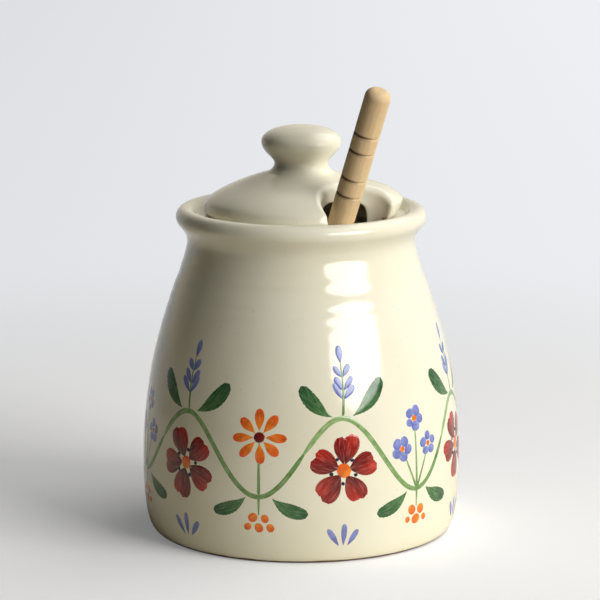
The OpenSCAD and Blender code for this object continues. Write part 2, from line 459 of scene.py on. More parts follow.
class RevolvedForm:
    """Signed distance to a profile that is turned round the Z axis."""

    STEP = 0.1
    MARGIN = 3.0

    def __init__(self, outline):
        mirrored = [p * [-1, 1] for p in outline[::-1]]
        corners = np.array(outline)
        self.low = np.array([-self.MARGIN, corners[:, 1].min() - self.MARGIN])
        high = corners.max(axis=0) + self.MARGIN
        self.grid = grid_of_distances(outline + mirrored, self.low, high, self.STEP)

    def distance(self, points):
        """The distances of points, read between the grid's own, up to its last cell."""
        place = (np.stack([np.hypot(points[:, 0], points[:, 1]), points[:, 2]], 1) - self.low) / self.STEP
        place = np.clip(place, 0, np.array(self.grid.shape) - 1.001)
        i, j = place.astype(int).T
        u, v = (place - place.astype(int)).T
        grid = self.grid
        near = grid[i, j] * (1 - v) + grid[i, j + 1] * v
        far = grid[i + 1, j] * (1 - v) + grid[i + 1, j + 1] * v
        return near * (1 - u) + far * u


def smooth_step(value, low, high):
    """0 below low, 1 above high and a smooth rise between."""
    t = np.clip((value - low) / (high - low), 0, 1)
    return t * t * (3 - 2 * t)


def notch_distance(points):
    """Signed distance to the upright U-shaped notch."""
    heading = math.radians(NOTCH_HEADING)
    across = points[:, 0] * math.cos(heading) + points[:, 1] * math.sin(heading)
    outward = points[:, 0] * math.sin(heading) - points[:, 1] * math.cos(heading)
    half = np.array([NOTCH_W / 2, LID_R])
    middle = LID_R - NOTCH_DEPTH + half[1]
    q = np.abs(np.stack([across, outward - middle], 1)) - half + NOTCH_CORNER
    return np.linalg.norm(np.maximum(q, 0), axis=1) + np.minimum(q.max(1), 0) - NOTCH_CORNER


def lid_distance(form, points):
    """Signed distance to the lid with its notch cut out and every edge of the cut rounded."""
    body = form.distance(points)
    cut = -notch_distance(points)
    outward = np.maximum(np.hypot(points[:, 0], points[:, 1]) - LID_R + NOTCH_DEPTH, 0)
    middle = CROWN_Z - NOTCH_MIDDLE_DROP - NOTCH_MIDDLE_SLOPE * outward
    upper = smooth_step(points[:, 2] - middle, -NOTCH_BLEND, NOTCH_BLEND)
    rounding = NOTCH_UNDER_ROUND + (NOTCH_ROUND - NOTCH_UNDER_ROUND) * upper
    corner = np.stack([np.maximum(body + rounding, 0), np.maximum(cut + rounding, 0)], 1)
    return np.minimum(np.maximum(body, cut), -rounding) + np.linalg.norm(corner, axis=1)


def push_lobe(points):
    """Bulges the lid's rim beside the notch upwards and outwards, as the potter's knife left it."""
    radius = np.hypot(points[:, 0], points[:, 1])
    heading = np.degrees(np.arctan2(points[:, 0], -points[:, 1]))
    share = np.exp(-(((heading - LOBE_HEADING) / LOBE_SPREAD) ** 2))
    share *= smooth_step(radius, LOBE_FROM_R, LOBE_FULL_R)
    share *= smooth_step(points[:, 2], LOBE_FROM_Z, LOBE_FULL_Z)
    out = points[:, :2] / np.maximum(radius, 1)[:, None]
    pushed = points.copy()
    pushed[:, :2] += out * (LOBE_REACH * share)[:, None]
    pushed[:, 2] += LOBE_RISE * share
    return pushed


def settle(points, distance, rounds=6, reach=0.12, share=0.9, least_slope=0.2):
    """Moves points onto the surface where a distance field is zero, a share of the way in each round."""
    for _ in range(rounds):
        d = distance(points)
        slope = np.zeros_like(points)
        for axis in range(3):
            step = np.zeros(3)
            step[axis] = reach
            slope[:, axis] = (distance(points + step) - distance(points - step)) / (2 * reach)
        length = np.maximum((slope**2).sum(1), least_slope)
        points = points - share * (d / length)[:, None] * slope
    return points


# Materials


class Shader:
    """A small builder for the nodes of a material or of the world."""

    def __init__(self, owner, output="ShaderNodeOutputMaterial"):
        owner.use_nodes = True
        self.owner = owner
        self.tree = owner.node_tree
        self.tree.nodes.clear()
        self.output = self.node(output)

    def node(self, kind, **settings):
        """A new node with its settings."""
        made = self.tree.nodes.new(kind)
        for name, value in settings.items():
            setattr(made, name, value)
        return made

    def link(self, source, target):
        """Joins an output to an input."""
        self.tree.links.new(source, target)

    def plug(self, socket, value):
        """Sets a socket to a number or a colour, or links another socket to it."""
        if isinstance(value, bpy.types.NodeSocket):
            self.link(value, socket)
        else:
            socket.default_value = value

    def principled(self, **values):
        """The material's surface, with its inputs named by words joined with underscores."""
        made = self.node("ShaderNodeBsdfPrincipled")
        for name, value in values.items():
            self.plug(made.inputs[name.replace("_", " ")], value)
        self.surface(made.outputs[0])

    def surface(self, source):
        """Shows an output on the material or the world."""
        self.link(source, self.output.inputs["Surface"])

    def glow(self, kind, colour, strength):
        """Light of a colour that is given off, as an emission or a background."""
        made = self.node(kind)
        self.plug(made.inputs["Color"], colour)
        self.plug(made.inputs["Strength"], strength)
        return made.outputs[0]

    def choose(self, factor, without, with_it):
        """One surface where the factor is 0 and another where it is 1."""
        made = self.node("ShaderNodeMixShader")
        self.link(factor, made.inputs[0])
        self.link(without, made.inputs[1])
        self.link(with_it, made.inputs[2])
        return made.outputs[0]

    def attribute(self, name, output="Vector"):
        """A value that the mesh carries at its points."""
        return self.node("ShaderNodeAttribute", attribute_name=name).outputs[output]

    def place(self):
        """The place on the object, in metres."""
        return self.node("ShaderNodeTexCoord").outputs["Object"]

    def split(self, vector):
        """The three parts of a vector."""
        made = self.node("ShaderNodeSeparateXYZ")
        self.link(vector, made.inputs[0])
        return made.outputs

    def scaled(self, vector, scale):
        """A vector with each part multiplied by its own scale."""
        made = self.node("ShaderNodeMapping")
        made.inputs["Scale"].default_value = scale
        self.link(vector, made.inputs["Vector"])
        return made.outputs[0]

    def noise(self, vector, scale=1.0, detail=3.0, roughness=0.5):
        """Soft random clouds between 0 and 1."""
        made = self.node("ShaderNodeTexNoise")
        made.inputs["Scale"].default_value = scale
        made.inputs["Detail"].default_value = detail
        made.inputs["Roughness"].default_value = roughness
        self.link(vector, made.inputs["Vector"])
        return made.outputs["Fac"]

    def math(self, operation, a, b=0.0):
        """A sum, product or the like of two values."""
        made = self.node("ShaderNodeMath", operation=operation)
        self.plug(made.inputs[0], a)
        self.plug(made.inputs[1], b)
        return made.outputs[0]

    def ramp(self, value, low, high, to_low=0.0, to_high=1.0):
        """A smooth step of a value from low to high."""
        made = self.node("ShaderNodeMapRange", interpolation_type="SMOOTHSTEP")
        self.plug(made.inputs["Value"], value)
        made.inputs["From Min"].default_value = low
        made.inputs["From Max"].default_value = high
        made.inputs["To Min"].default_value = to_low
        made.inputs["To Max"].default_value = to_high
        return made.outputs[0]

    def mix(self, factor, a, b, blend="MIX"):
        """A colour between a and b."""
        made = self.node("ShaderNodeMix", data_type="RGBA", blend_type=blend)
        self.plug(made.inputs["Factor"], factor)
        self.plug(made.inputs[6], a)
        self.plug(made.inputs[7], b)
        return made.outputs[2]

    def bump(self, height, strength, distance):
        """A normal that follows a height, in metres."""
        made = self.node("ShaderNodeBump")
        made.inputs["Strength"].default_value = strength
        made.inputs["Distance"].default_value = distance
        self.link(height, made.inputs["Height"])
        return made.outputs[0]


def glaze_colour(shader):
    """Cream glaze with a faint warm cloudiness and a few pale iron specks."""
    place = shader.place()
    cloud = shader.noise(place, scale=38, detail=2.0)
    colour = shader.mix(shader.ramp(cloud, 0.35, 0.7, to_high=0.5), CREAM, CREAM_CLOUD)
    speck = shader.noise(place, scale=900, detail=1.0)
    return shader.mix(shader.ramp(speck, 0.74, 0.80, to_high=0.25), colour, SPECK)


def glaze_ripple(shader):
    """The soft unevenness of a poured glaze."""
    place = shader.place()
    slow = shader.noise(place, scale=60, detail=1.0)
    fine = shader.noise(place, scale=420, detail=2.0)
    height = shader.math("ADD", slow, shader.math("MULTIPLY", fine, FINE_RIPPLE))
    return shader.bump(height, strength=0.35, distance=0.6 * MM)


def cream_glaze():
    """Glossy cream glaze, bare brown clay under the foot and on the foot's lowest edge."""
    shader = Shader(bpy.data.materials.new("cream_glaze"))
    place = shader.place()
    height = shader.split(place)[2]
    jitter = shader.math("MULTIPLY", shader.noise(place, scale=160, detail=2.0), GLAZE_LINE_JITTER)
    level = shader.math("SUBTRACT", height, jitter)
    bare = shader.ramp(level, CLAY_TOP, GLAZE_FOOT, to_low=1.0, to_high=0.0)
    clay = shader.mix(shader.noise(place, scale=1500), CLAY, CLAY_GRIT)
    shader.principled(
        Base_Color=shader.mix(bare, glaze_colour(shader), clay),
        Roughness=shader.math("ADD", shader.math("MULTIPLY", bare, CLAY_ROUGHER), POT_ROUGHNESS),
        IOR=GLAZE_IOR,
        Normal=glaze_ripple(shader),
    )
    return shader.owner


def lid_glaze():
    """The same cream glaze for the lid and its knob."""
    shader = Shader(bpy.data.materials.new("lid_glaze"))
    shader.principled(
        Base_Color=glaze_colour(shader),
        Roughness=LID_ROUGHNESS,
        IOR=GLAZE_IOR,
        Normal=glaze_ripple(shader),
    )
    return shader.owner


def painted_glaze():
    """Brushed underglaze colours that streak along each stroke and thin into the cream at its edge."""
    shader = Shader(bpy.data.materials.new("painted_glaze"))
    stroke = shader.attribute("stroke")
    across, _, load = shader.split(shader.attribute("brush"))[:3]
    streaks = shader.noise(shader.scaled(stroke, (1900, 260, 1)), roughness=0.6)
    pools = shader.noise(shader.scaled(stroke, (420, 420, 1)), detail=2.0)
    side = shader.math("ABSOLUTE", across)
    thin = shader.ramp(streaks, 0.42, 0.72, to_high=0.8)
    thin = shader.math("MULTIPLY", thin, shader.math("SUBTRACT", 1.0, load))
    rim = shader.ramp(side, 0.86, 0.99, to_high=0.35)
    paint = shader.attribute("paint", "Color")
    dark = shader.mix(shader.ramp(pools, 0.45, 0.68, to_high=0.45), paint, POOLED, "MULTIPLY")
    bright = shader.mix(1.0, paint, THINNED, "MULTIPLY")
    light = shader.mix(CREAM_THROUGH_PAINT, bright, CREAM)
    shader.principled(
        Base_Color=shader.mix(rim, shader.mix(thin, dark, light), CREAM),
        Roughness=POT_ROUGHNESS,
        IOR=GLAZE_IOR,
        Normal=glaze_ripple(shader),
    )
    return shader.owner


def beech():
    """Sanded beech: fine streaks and short rays along the axis, scorched where the rings are cut, with
    painted shade that darkens the scorch on one side of the stick.
    """
    shader = Shader(bpy.data.materials.new("beech"))
    grain = shader.attribute("grain")
    streaks = shader.noise(shader.scaled(grain, (1500, 1500, 45)), detail=4.0, roughness=0.6)
    broad = shader.noise(shader.scaled(grain, (330, 330, 14)), detail=2.0)
    rays = shader.noise(shader.scaled(grain, (3200, 3200, 420)), detail=1.0)
    colour = shader.mix(shader.ramp(broad, 0.35, 0.7, to_high=0.6), BEECH, BEECH_BROAD)
    colour = shader.mix(shader.ramp(streaks, 0.45, 0.75, to_high=0.45), colour, BEECH_STREAK)
    colour = shader.mix(shader.ramp(rays, 0.64, 0.74, to_high=0.5), colour, BEECH_RAY)
    sideways = shader.split(grain)[0]
    # Painted shade: the rings' scorch shows dark on one side of the stick and only faint on the other
    shaded_side = shader.ramp(sideways, SHADED_SIDE_X, LIT_SIDE_X, to_low=1.0, to_high=LIT_SIDE_SCORCH)
    scorch_and_shade = shader.math("MULTIPLY", shader.attribute("scorch", "Fac"), shaded_side)
    shader.principled(
        Base_Color=shader.mix(scorch_and_shade, colour, SCORCH_AND_SHADE),
        Roughness=WOOD_ROUGHNESS,
        IOR=WOOD_IOR,
        Normal=shader.bump(streaks, strength=0.25, distance=0.3 * MM),
    )
    return shader.owner


# Pot, lid and dipper


def make_pot(glaze):
    """The thrown body, turned from its section."""
    points, faces = revolve(pot_profile(), POT_SIDES)
    pot = make_mesh("pot_glazed", points, faces)
    pot.data.materials.append(glaze)
    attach(pot, "pot")
    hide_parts("pot")


def make_lid(glaze):
    """Lid and knob under one glaze: an even net over both solids, settled on their rounded form."""
    points = []
    faces = []
    for node in ("lid", "knob"):
        mesh = frame["nodes"][node].data
        start = len(points)
        points += [v.co / MM for v in mesh.vertices]
        faces += [tuple(start + i for i in p.vertices) for p in mesh.polygons]
    lid = make_mesh("lid_glazed", points, faces)
    net = lid.modifiers.new("net", "REMESH")
    net.mode = "VOXEL"
    net.voxel_size = NET_SIZE * MM
    apply_modifier(lid, net)
    mesh = lid.data
    form = RevolvedForm(lid_profile())
    settled = np.array([v.co for v in mesh.vertices]) / MM
    settled = push_lobe(settle(settled, lambda p: lid_distance(form, p)))
    mesh.vertices.foreach_set("co", (settled * MM).astype(np.float32).ravel())
    mesh.update()
    mesh.shade_smooth()
    mesh.materials.append(glaze)
    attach(lid, "lid")
    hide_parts("lid", "knob")


def apply_modifier(obj, modifier):
    """Turns an object's modified shape into its mesh."""
    shaped = bpy.data.meshes.new_from_object(obj.evaluated_get(bpy.context.evaluated_depsgraph_get()))
    obj.modifiers.remove(modifier)
    obj.data = shaped


def dipper_axis():
    """The dipper's axis, as its direction, two across it and a point, and its spans along and across it."""
    joint = next(j for j in frame["joints"] if j["name"] == "dipper_draw")
    way = np.array(joint["axis"], float)
    way /= np.linalg.norm(way)
    side = np.cross([0, 0, 1], way)
    side /= np.linalg.norm(side)
    front = np.cross(way, side)
    handle = np.array([v.co for v in frame["nodes"]["dipper_handle"].data.vertices]) / MM
    head = np.array([v.co for v in frame["nodes"]["dipper_head"].data.vertices]) / MM
    centre = sum(d * ((handle @ d).min() + (handle @ d).max()) / 2 for d in (side, front))
    spans = {
        "handle": ((handle @ way).min(), (handle @ way).max()),
        "head": ((head @ way).min(), (head @ way).max()),
        "handle_r": np.ptp(handle @ side) / 2,
        "head_r": np.ptp(head @ side) / 2,
    }
    return (way, side, front, centre), spans


def make_turned(name, profile, scorch, axis, start, material):
    """A turned wooden piece on the dipper's axis. Scorch gives each profile point's burn."""
    way, side, front, centre = axis
    points, faces = revolve(profile, TURNED_SIDES)
    points = np.array(points)
    placed = centre + points[:, :1] * side + points[:, 1:2] * front + (points[:, 2:] + start) * way
    piece = make_mesh(name, placed, faces)
    grain = piece.data.attributes.new("grain", "FLOAT_VECTOR", "POINT")
    grain.data.foreach_set("vector", (points * MM).astype(np.float32).ravel())
    burn = [scorch[0]]
    for value in scorch[1:-1]:
        burn += [value] * TURNED_SIDES
    burn.append(scorch[-1])
    piece.data.attributes.new("scorch", "FLOAT", "POINT").data.foreach_set("value", burn)
    piece.data.materials.append(material)
    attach(piece, "dipper")
    return piece


def make_handle(axis, spans, wood):
    """The dowel with its rounded top and two pairs of scored, scorched rings."""
    start, stop = spans["handle"]
    length = stop - start
    radius = spans["handle_r"]
    rings = [length - RING_TOP - pair * RING_STEP - ring * RING_PAIR for pair in (0, 1) for ring in (0, 1)]
    heights = set(np.round(np.arange(0, length - HANDLE_ROUND, HANDLE_STEP), 3)) | {length - HANDLE_ROUND}
    for ring in rings:
        heights |= set(np.round(ring + np.linspace(-RING_REACH, RING_REACH, RING_POINTS), 3))
    profile = [np.array([0.0, 0.0])]
    scorch = [0.0]
    for z in sorted(heights):
        near = min(abs(z - ring) for ring in rings)
        cut = RING_DEPTH * max(1 - near / (RING_W / 2), 0) ** RING_SHARPNESS
        profile.append(np.array([radius - cut, z]))
        scorch.append(math.exp(-((near / SCORCH_W) ** 2)))
    end_centre = (radius - HANDLE_ROUND, length - HANDLE_ROUND)
    end = arc(end_centre, HANDLE_ROUND, HANDLE_ROUND, start=0, stop=90, steps=10)[1:]
    profile += end + [np.array([0.0, length])]
    scorch += [0.0] * (len(end) + 1)
    piece = make_turned("dipper_handle_wood", profile, scorch, axis, start, wood)
    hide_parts("dipper_handle")


def make_head(axis, spans, wood):
    """The ribbed head: a ball end, then ribs that grow slimmer towards the handle."""
    start, stop = spans["head"]
    length = stop - start
    radius = spans["head_r"]
    end_r = HEAD_CORE_R + HEAD_END_STEP
    first = radius - GROOVE_W

    def outline(z):
        """The head's radius at a height over its tip, between the grooves."""
        if z < radius:
            return math.sqrt(max(radius**2 - (radius - z) ** 2, 0))
        return end_r + (radius - end_r) * math.cos(math.pi / 2 * (z - radius) / (length - radius))

    profile = [np.array([0.0, 0.0])]
    ball = np.linspace(1.5 * HEAD_STEP, first - 2.5 * HEAD_STEP, 14)
    ribs = np.arange(first - 2 * HEAD_STEP, length, HEAD_STEP)
    for z in np.concatenate([ball, ribs]):
        groove, place = divmod(z - first, GROOVE_PITCH)
        inside = 0 <= groove < GROOVE_N and place < GROOVE_W
        profile.append(np.array([HEAD_CORE_R if inside else outline(z), z]))
    profile += [np.array([spans["handle_r"] - HEAD_JOIN_STEP, length]), np.array([0.0, length])]
    piece = make_turned("dipper_head_wood", profile, [0.0] * len(profile), axis, start, wood)
    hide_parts("dipper_head")


# Painted garland

DEEP_RED = (0.085, 0.004, 0.006)
RED = (0.27, 0.007, 0.006)
BRIGHT_RED = (0.46, 0.022, 0.012)
ORANGE = (0.76, 0.085, 0.004)
AMBER = (0.84, 0.25, 0.015)
BLUE = (0.105, 0.13, 0.42)
PALE_BLUE = (0.25, 0.29, 0.58)
INK = (0.012, 0.012, 0.035)
LEAF = (0.075, 0.19, 0.06)
LEAF_TIP = (0.018, 0.085, 0.028)
STEM = (0.11, 0.235, 0.06)
PALE_STEM = (0.28, 0.42, 0.17)

GARLAND_SEED = 11
VINE_Z = 33.5
VINE_RISE = 12
VINE_WAVES = 6
VINE_W = 2.0
VINE_OVERLAP = 1.03
SWAY_RISE = 0.6
SWAY_WAVES = 5
SWAY_TURN = 1.3
THIN_STALK_W = 1.1
ROSETTE_PETALS = 5
DAISY_PETALS = 8
FLORET_PETALS = 5
ROSETTE_D = 21.5
ROSETTE_DROP = 16.0
DAISY_D = 17
FLORET_D = 8.5
DAISY_STALK_LEN = 18
DAISY_STALK_W = 1.3
SPRAY_LEN = 17.5
SPRAY_LEAN = 8
CREST_LEAF_LEN = 15.5
TROUGH_LEAF_LEN = 13.5
TUFT_Z = 5.5
TUFT_W = 2.4

# Direction and length of the three stalks that carry florets
FLORET_STALKS = ((66, 14.5), (90, 22), (114, 14.5))

# Berries below the vine: place beside and below the stalk's root, and size
BERRIES = ((-1.9, -6.6, 3.2), (1.9, -6.8, 3.2), (0, -9.8, 3.4), (-3.6, -9.6, 2.6), (3.6, -9.7, 2.6))

# Thickness of the paint, with its edge sunk in the glaze and each layer a little prouder
PAINT_EDGE = 0.03
PAINT_BODY = 0.05
PAINT_LAYER = 0.012

# The width from which a stroke has its full body, how square its section is, and the least width
FULL_BODY_W = 0.5
SQUARENESS = 2.6
LEAST_W = 0.04


class Brush:
    """Collects brush strokes as thin raised strips that hug the pot.

    Strokes are drawn on the unrolled belly: x runs round the pot at the belly's radius, and y is height.
    """

    ACROSS = np.array([-1, -0.88, -0.55, 0, 0.55, 0.88, 1])
    SPAN = 1.0

    def __init__(self, seed):
        self.random = random.Random(seed)
        self.points = []
        self.faces = []
        self.paint = []
        self.brush = []
        self.stroke = []
        outside = np.array(pot_outside())
        rising = outside[np.argsort(outside[:, 1], kind="stable")]
        self.heights = rising[:, 1]
        self.radii = rising[:, 0]

    def on_pot(self, x, y, lift):
        """A point on the pot's surface, raised along its normal."""
        heading = x / BELLY_R
        radius = np.interp(y, self.heights, self.radii)
        below, above = np.interp([y - self.SPAN, y + self.SPAN], self.heights, self.radii)
        normal = np.array([2 * self.SPAN, below - above])
        normal /= np.linalg.norm(normal)
        radius = radius + lift * normal[0]
        return (radius * math.sin(heading), -radius * math.cos(heading), y + lift * normal[1])

    def strip(self, spine, widths, base, tip, load, layer):
        """One stroke along a spine of points, with a width and a colour between base and tip at each."""
        spine = np.array(spine, float)
        count = len(spine)
        ways = np.gradient(spine, axis=0)
        ways /= np.linalg.norm(ways, axis=1)[:, None]
        run = np.concatenate([[0], np.cumsum(np.linalg.norm(np.diff(spine, axis=0), axis=1))])
        shift = self.random.uniform(0, 90)
        start = len(self.points)
        for i in range(count):
            t = i / (count - 1)
            side = np.array([-ways[i][1], ways[i][0]])
            thick = min(widths[i] / FULL_BODY_W, 1)
            for s in self.ACROSS:
                x, y = spine[i] + side * s * widths[i] / 2
                lift = -PAINT_EDGE + (PAINT_EDGE + PAINT_BODY) * thick * (1 - abs(s) ** SQUARENESS)
                self.points.append(self.on_pot(x, y, lift + layer * PAINT_LAYER))
                self.paint.append([base[k] + (tip[k] - base[k]) * t for k in range(3)] + [1])
                self.brush.append((s, t, load))
                self.stroke.append(((s * widths[i] / 2 + shift) * MM, (run[i] + shift) * MM, 0))
        wide = len(self.ACROSS)
        for i in range(count - 1):
            for j in range(wide - 1):
                a = start + i * wide + j
                self.faces.append((a, a + 1, a + wide + 1, a + wide))

    def dab(self, x, y, angle, length, width, base, tip, bend=0.0, load=0.45, layer=0, fat=0.62):
        """A pressed stroke: it leaves a point at (x, y), swells and ends round, in a direction in degrees."""
        jitter = self.random.uniform
        angle = math.radians(angle + jitter(-4, 4))
        length *= jitter(0.93, 1.07)
        width *= jitter(0.92, 1.08)
        spine = []
        widths = []
        for t in np.linspace(0, 1, 13):
            turn = angle + math.radians(bend) * (t - 0.5)
            spine.append((x + length * t * math.cos(turn), y + length * t * math.sin(turn)))
            swell = math.sin(math.pi / 2 * min(t / fat, 1)) ** 1.3
            close = math.sqrt(max(1 - max((t - fat) / (1 - fat), 0) ** 2, 0))
            widths.append(max(width * swell * close, LEAST_W))
        self.strip(spine, widths, base, tip, load, layer)

    def dot(self, x, y, size, colour, tip=None, layer=1, load=0.7):
        """A touch of the brush's tip."""
        jitter = self.random.uniform
        size *= jitter(0.85, 1.15)
        angle = jitter(0, math.pi)
        spine = []
        widths = []
        for t in np.linspace(-1, 1, 9):
            spine.append((x + size / 2 * t * math.cos(angle), y + size / 2 * t * math.sin(angle)))
            widths.append(max(size * 0.92 * math.sqrt(max(1 - t * t, 0)), LEAST_W))
        self.strip(spine, widths, colour, tip or colour, load, layer)

    def line(self, points, width, base, tip, load=0.3, layer=0, taper=0.35):
        """A drawn line through points, thinner towards its tip."""
        widths = []
        for i in range(len(points)):
            t = i / (len(points) - 1)
            ends = min(t / 0.06, (1 - t) / 0.06, 1)
            widths.append(max(width * (1 - taper * t) * math.sqrt(max(ends, 0)), LEAST_W))
        self.strip(points, widths, base, tip, load, layer)

    def around(self, x, y, angle, reach):
        """The place at a distance from (x, y) in a direction in degrees."""
        return x + reach * math.cos(math.radians(angle)), y + reach * math.sin(math.radians(angle))

    def rosette(self, x, y, size):
        """A red flower of five heart-shaped petals round an amber eye ringed with ink dots."""
        step = 360 / ROSETTE_PETALS
        turn = self.random.uniform(0, step)
        for i in range(ROSETTE_PETALS):
            angle = turn + step * i
            start = self.around(x, y, angle, reach=size * 0.07)
            for hand in (-1, 1):
                self.dab(
                    *start,
                    angle=angle + 15 * hand,
                    length=size * 0.44,
                    width=size * 0.25,
                    base=DEEP_RED,
                    tip=RED if hand > 0 else BRIGHT_RED,
                    bend=-16 * hand,
                    load=0.35,
                    layer=1 + i % 2,
                    fat=0.7,
                )
        for i in range(ROSETTE_PETALS):
            spot = self.around(x, y, turn + step / 2 + step * i, reach=size * 0.19)
            self.dot(*spot, size=size * 0.065, colour=INK, layer=4, load=0.9)
        self.dot(x, y, size * 0.2, AMBER, ORANGE, layer=4, load=0.8)

    def daisy(self, x, y, size):
        """An orange flower of eight slim petals."""
        step = 360 / DAISY_PETALS
        turn = self.random.uniform(0, step)
        for i in range(DAISY_PETALS):
            angle = turn + step * i
            start = self.around(x, y, angle, reach=size * 0.1)
            self.dab(*start, angle, size * 0.4, size * 0.19, AMBER, ORANGE, load=0.55, layer=1 + i % 2)
        self.dot(x, y, size * 0.22, DEEP_RED, RED, layer=4, load=0.8)

    def floret(self, x, y, size):
        """A small blue flower of five round petals."""
        step = 360 / FLORET_PETALS
        turn = self.random.uniform(0, step)
        for i in range(FLORET_PETALS):
            spot = self.around(x, y, turn + step * i, reach=size * 0.29)
            self.dot(*spot, size * 0.4, BLUE, PALE_BLUE, layer=1, load=0.5)
        self.dot(x, y, size * 0.22, AMBER, ORANGE, layer=3, load=0.8)

    def leaf(self, x, y, angle, length, bend=0.0):
        """A pressed leaf, pale at its point and dark at its round end, with one pale vein."""
        self.dab(x, y, angle, length, length * 0.4, LEAF, LEAF_TIP, bend=bend, load=0.3, fat=0.6)
        vein = []
        for t in np.linspace(0.1, 0.78, 9):
            turn = math.radians(angle + bend * (t - 0.5))
            vein.append((x + length * t * math.cos(turn), y + length * t * math.sin(turn)))
        self.line(vein, 0.5, STEM, PALE_STEM, layer=1, taper=0.7)

    def stalk(self, x, y, angle, length, bend, width):
        """A stalk that bends as it grows. Returns its points."""
        points = []
        for t in np.linspace(0, 1, 14):
            points.append(self.around(x, y, angle + bend * t, length * t))
        self.line(points, width, STEM, PALE_STEM, taper=0.5)
        return points

    def spray(self, x, y, angle, length, bend):
        """A sprig with pairs of blue dabs and one at its tip."""
        stalk = self.stalk(x, y, angle, length, bend, THIN_STALK_W)
        for i, t in enumerate((0.3, 0.5, 0.7)):
            way = angle + bend * 2 * t
            reach = length * (0.36 - 0.05 * i)
            root = stalk[round(t * (len(stalk) - 1))]
            for hand in (-1, 1):
                self.dab(*root, way + 34 * hand, reach, 2.3, BLUE, PALE_BLUE, load=0.5, layer=1)
        self.dab(*stalk[-2], angle + 2 * bend, length * 0.34, 2.5, BLUE, PALE_BLUE, load=0.5, layer=1)

    def berries(self, x, y):
        """A hanging stalk with a cluster of orange berries."""
        self.stalk(x, y, angle=-90, length=6, bend=0, width=THIN_STALK_W)
        for dx, dy, size in BERRIES:
            self.dot(x + dx, y + dy, size, ORANGE, AMBER, load=0.5)

    def finish(self, name, material):
        """Makes the strokes into one object."""
        obj = make_mesh(name, self.points, self.faces)
        kept = (
            ("paint", "FLOAT_COLOR", "color", self.paint),
            ("brush", "FLOAT_VECTOR", "vector", self.brush),
            ("stroke", "FLOAT_VECTOR", "vector", self.stroke),
        )
        for label, kind, field, values in kept:
            obj.data.attributes.new(label, kind, "POINT").data.foreach_set(field, np.ravel(values))
        obj.data.materials.append(material)
        return obj


def vine_height(x):
    """Height of the vine's line at a place round the belly."""
    heading = x / BELLY_R
    wave = VINE_RISE * math.sin(VINE_WAVES * heading)
    return VINE_Z + wave + SWAY_RISE * math.sin(SWAY_WAVES * heading + SWAY_TURN)


def make_garland(material):
    """A winding vine with a flower in each of its bends, leaves, sprigs and berries."""
    brush = Brush(GARLAND_SEED)
    wave = 2 * math.pi * BELLY_R / VINE_WAVES
    for i in range(VINE_WAVES):
        start = i * wave
        line = [(x, vine_height(x)) for x in np.linspace(start, start + wave * VINE_OVERLAP, 60)]
        brush.line(line, VINE_W, PALE_STEM, STEM, load=0.2, taper=0.1)
    for i in range(VINE_WAVES):
        crest = (i + 0.25) * wave
        trough = (i + 0.75) * wave
        top = vine_height(crest)
        bottom = vine_height(trough)
        sway = SPRAY_LEAN if i % 2 else -SPRAY_LEAN
        brush.rosette(crest, top - ROSETTE_DROP, ROSETTE_D)
        brush.spray(crest, top, 90 + sway, SPRAY_LEN, -sway)
        for hand in (-1, 1):
            brush.leaf(crest + 3 * hand, top + 0.3, 90 - 58 * hand, CREST_LEAF_LEN, bend=20 * hand)
            brush.leaf(trough + 4 * hand, bottom, 270 + 52 * hand, TROUGH_LEAF_LEN, bend=24 * hand)
            lean = 90 - 32 * hand
            brush.dab(crest + 1.2 * hand, TUFT_Z, lean, 7.0, TUFT_W, BLUE, PALE_BLUE, load=0.5)
        brush.dab(crest, TUFT_Z, 90, 7.5, TUFT_W, BLUE, PALE_BLUE, load=0.5)
        if i % 2:
            brush.stalk(trough, bottom, 90, DAISY_STALK_LEN, bend=0, width=DAISY_STALK_W)
            brush.daisy(trough, bottom + DAISY_STALK_LEN + 0.5, DAISY_D)
        else:
            for angle, length in FLORET_STALKS:
                tip = brush.stalk(trough, bottom, angle, length, bend=0, width=THIN_STALK_W)[-1]
                brush.floret(*tip, FLORET_D)
        brush.berries(trough, bottom)
    garland = brush.finish("painted_garland", material)
    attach(garland, "pot")


# Studio: camera places in millimetres, lamp places and sizes in metres

CAMERA_AT = (-0.4, -977.3, 267.0)
CAMERA_AIM = (-0.4, 0, 73.2)
CAMERA_LENS = 188.3
SENSOR_W = 36
VIEW_REACH = 50
LAMP_AIM = (0, 0, 0.06)
LAMP_COLOUR = (1.0, 0.988, 0.962)

# Each lamp's shape, heading, elevation, distance, width, height and the brightness of its mirror image
WINDOW = ("RECTANGLE", 55, 20, 2.0, 1.3, 1.0, 9.7)
WINDOW_SHINE = ("ELLIPSE", 44.5, 17, 0.96, 0.76, 0.47, 8.5)
TOP_SCREEN = ("ELLIPSE", 60, 55, 2.4, 2.24, 1.8, 1.25)
BACK_SCREEN = ("ELLIPSE", 120, 48, 2.4, 2.68, 2.0, 1.7)

# In reflections the surround brightens as a direction turns to the back (+Y), between these parts of it
BEHIND_FROM = 0.2
BEHIND_FULL = 0.85
BEHIND_DIM = 0.06

# The floor, in metres from the pot's foot: its near part is paper and its far part glows
FLOOR_R = 12.0
FLOOR_SIDES = 64
FLOOR_BRIGHT = 0.85
FLOOR_NEAR_GLOW = 0.23
FLOOR_FAR_GLOW = 0.95
FLOOR_BOUNCE = 0.05
FLOOR_NEAR = 0.16
FLOOR_FAR = 0.50
FLOOR_LEFT = -0.45
FLOOR_RIGHT = 0.35
FLOOR_UNSEEN = (0.78, 0.74, 0.62, 1)
FLOOR_SEEN = (0.81, 0.81, 0.815, 1)
GLOW_LEFT = (0.70, 0.715, 0.74, 1)
GLOW_RIGHT = (0.86, 0.875, 0.905, 1)

# The world: its light on the object, what the camera sees and what the glaze mirrors
ROOM = (1.0, 0.90, 0.72, 1)
ROOM_STRENGTH = 0.02
PALE = (0.80, 0.82, 0.85, 1)
PALE_STRENGTH = 1.0
MIRRORED = (1.0, 0.93, 0.77, 1)
MIRRORED_BRIGHT = 0.8


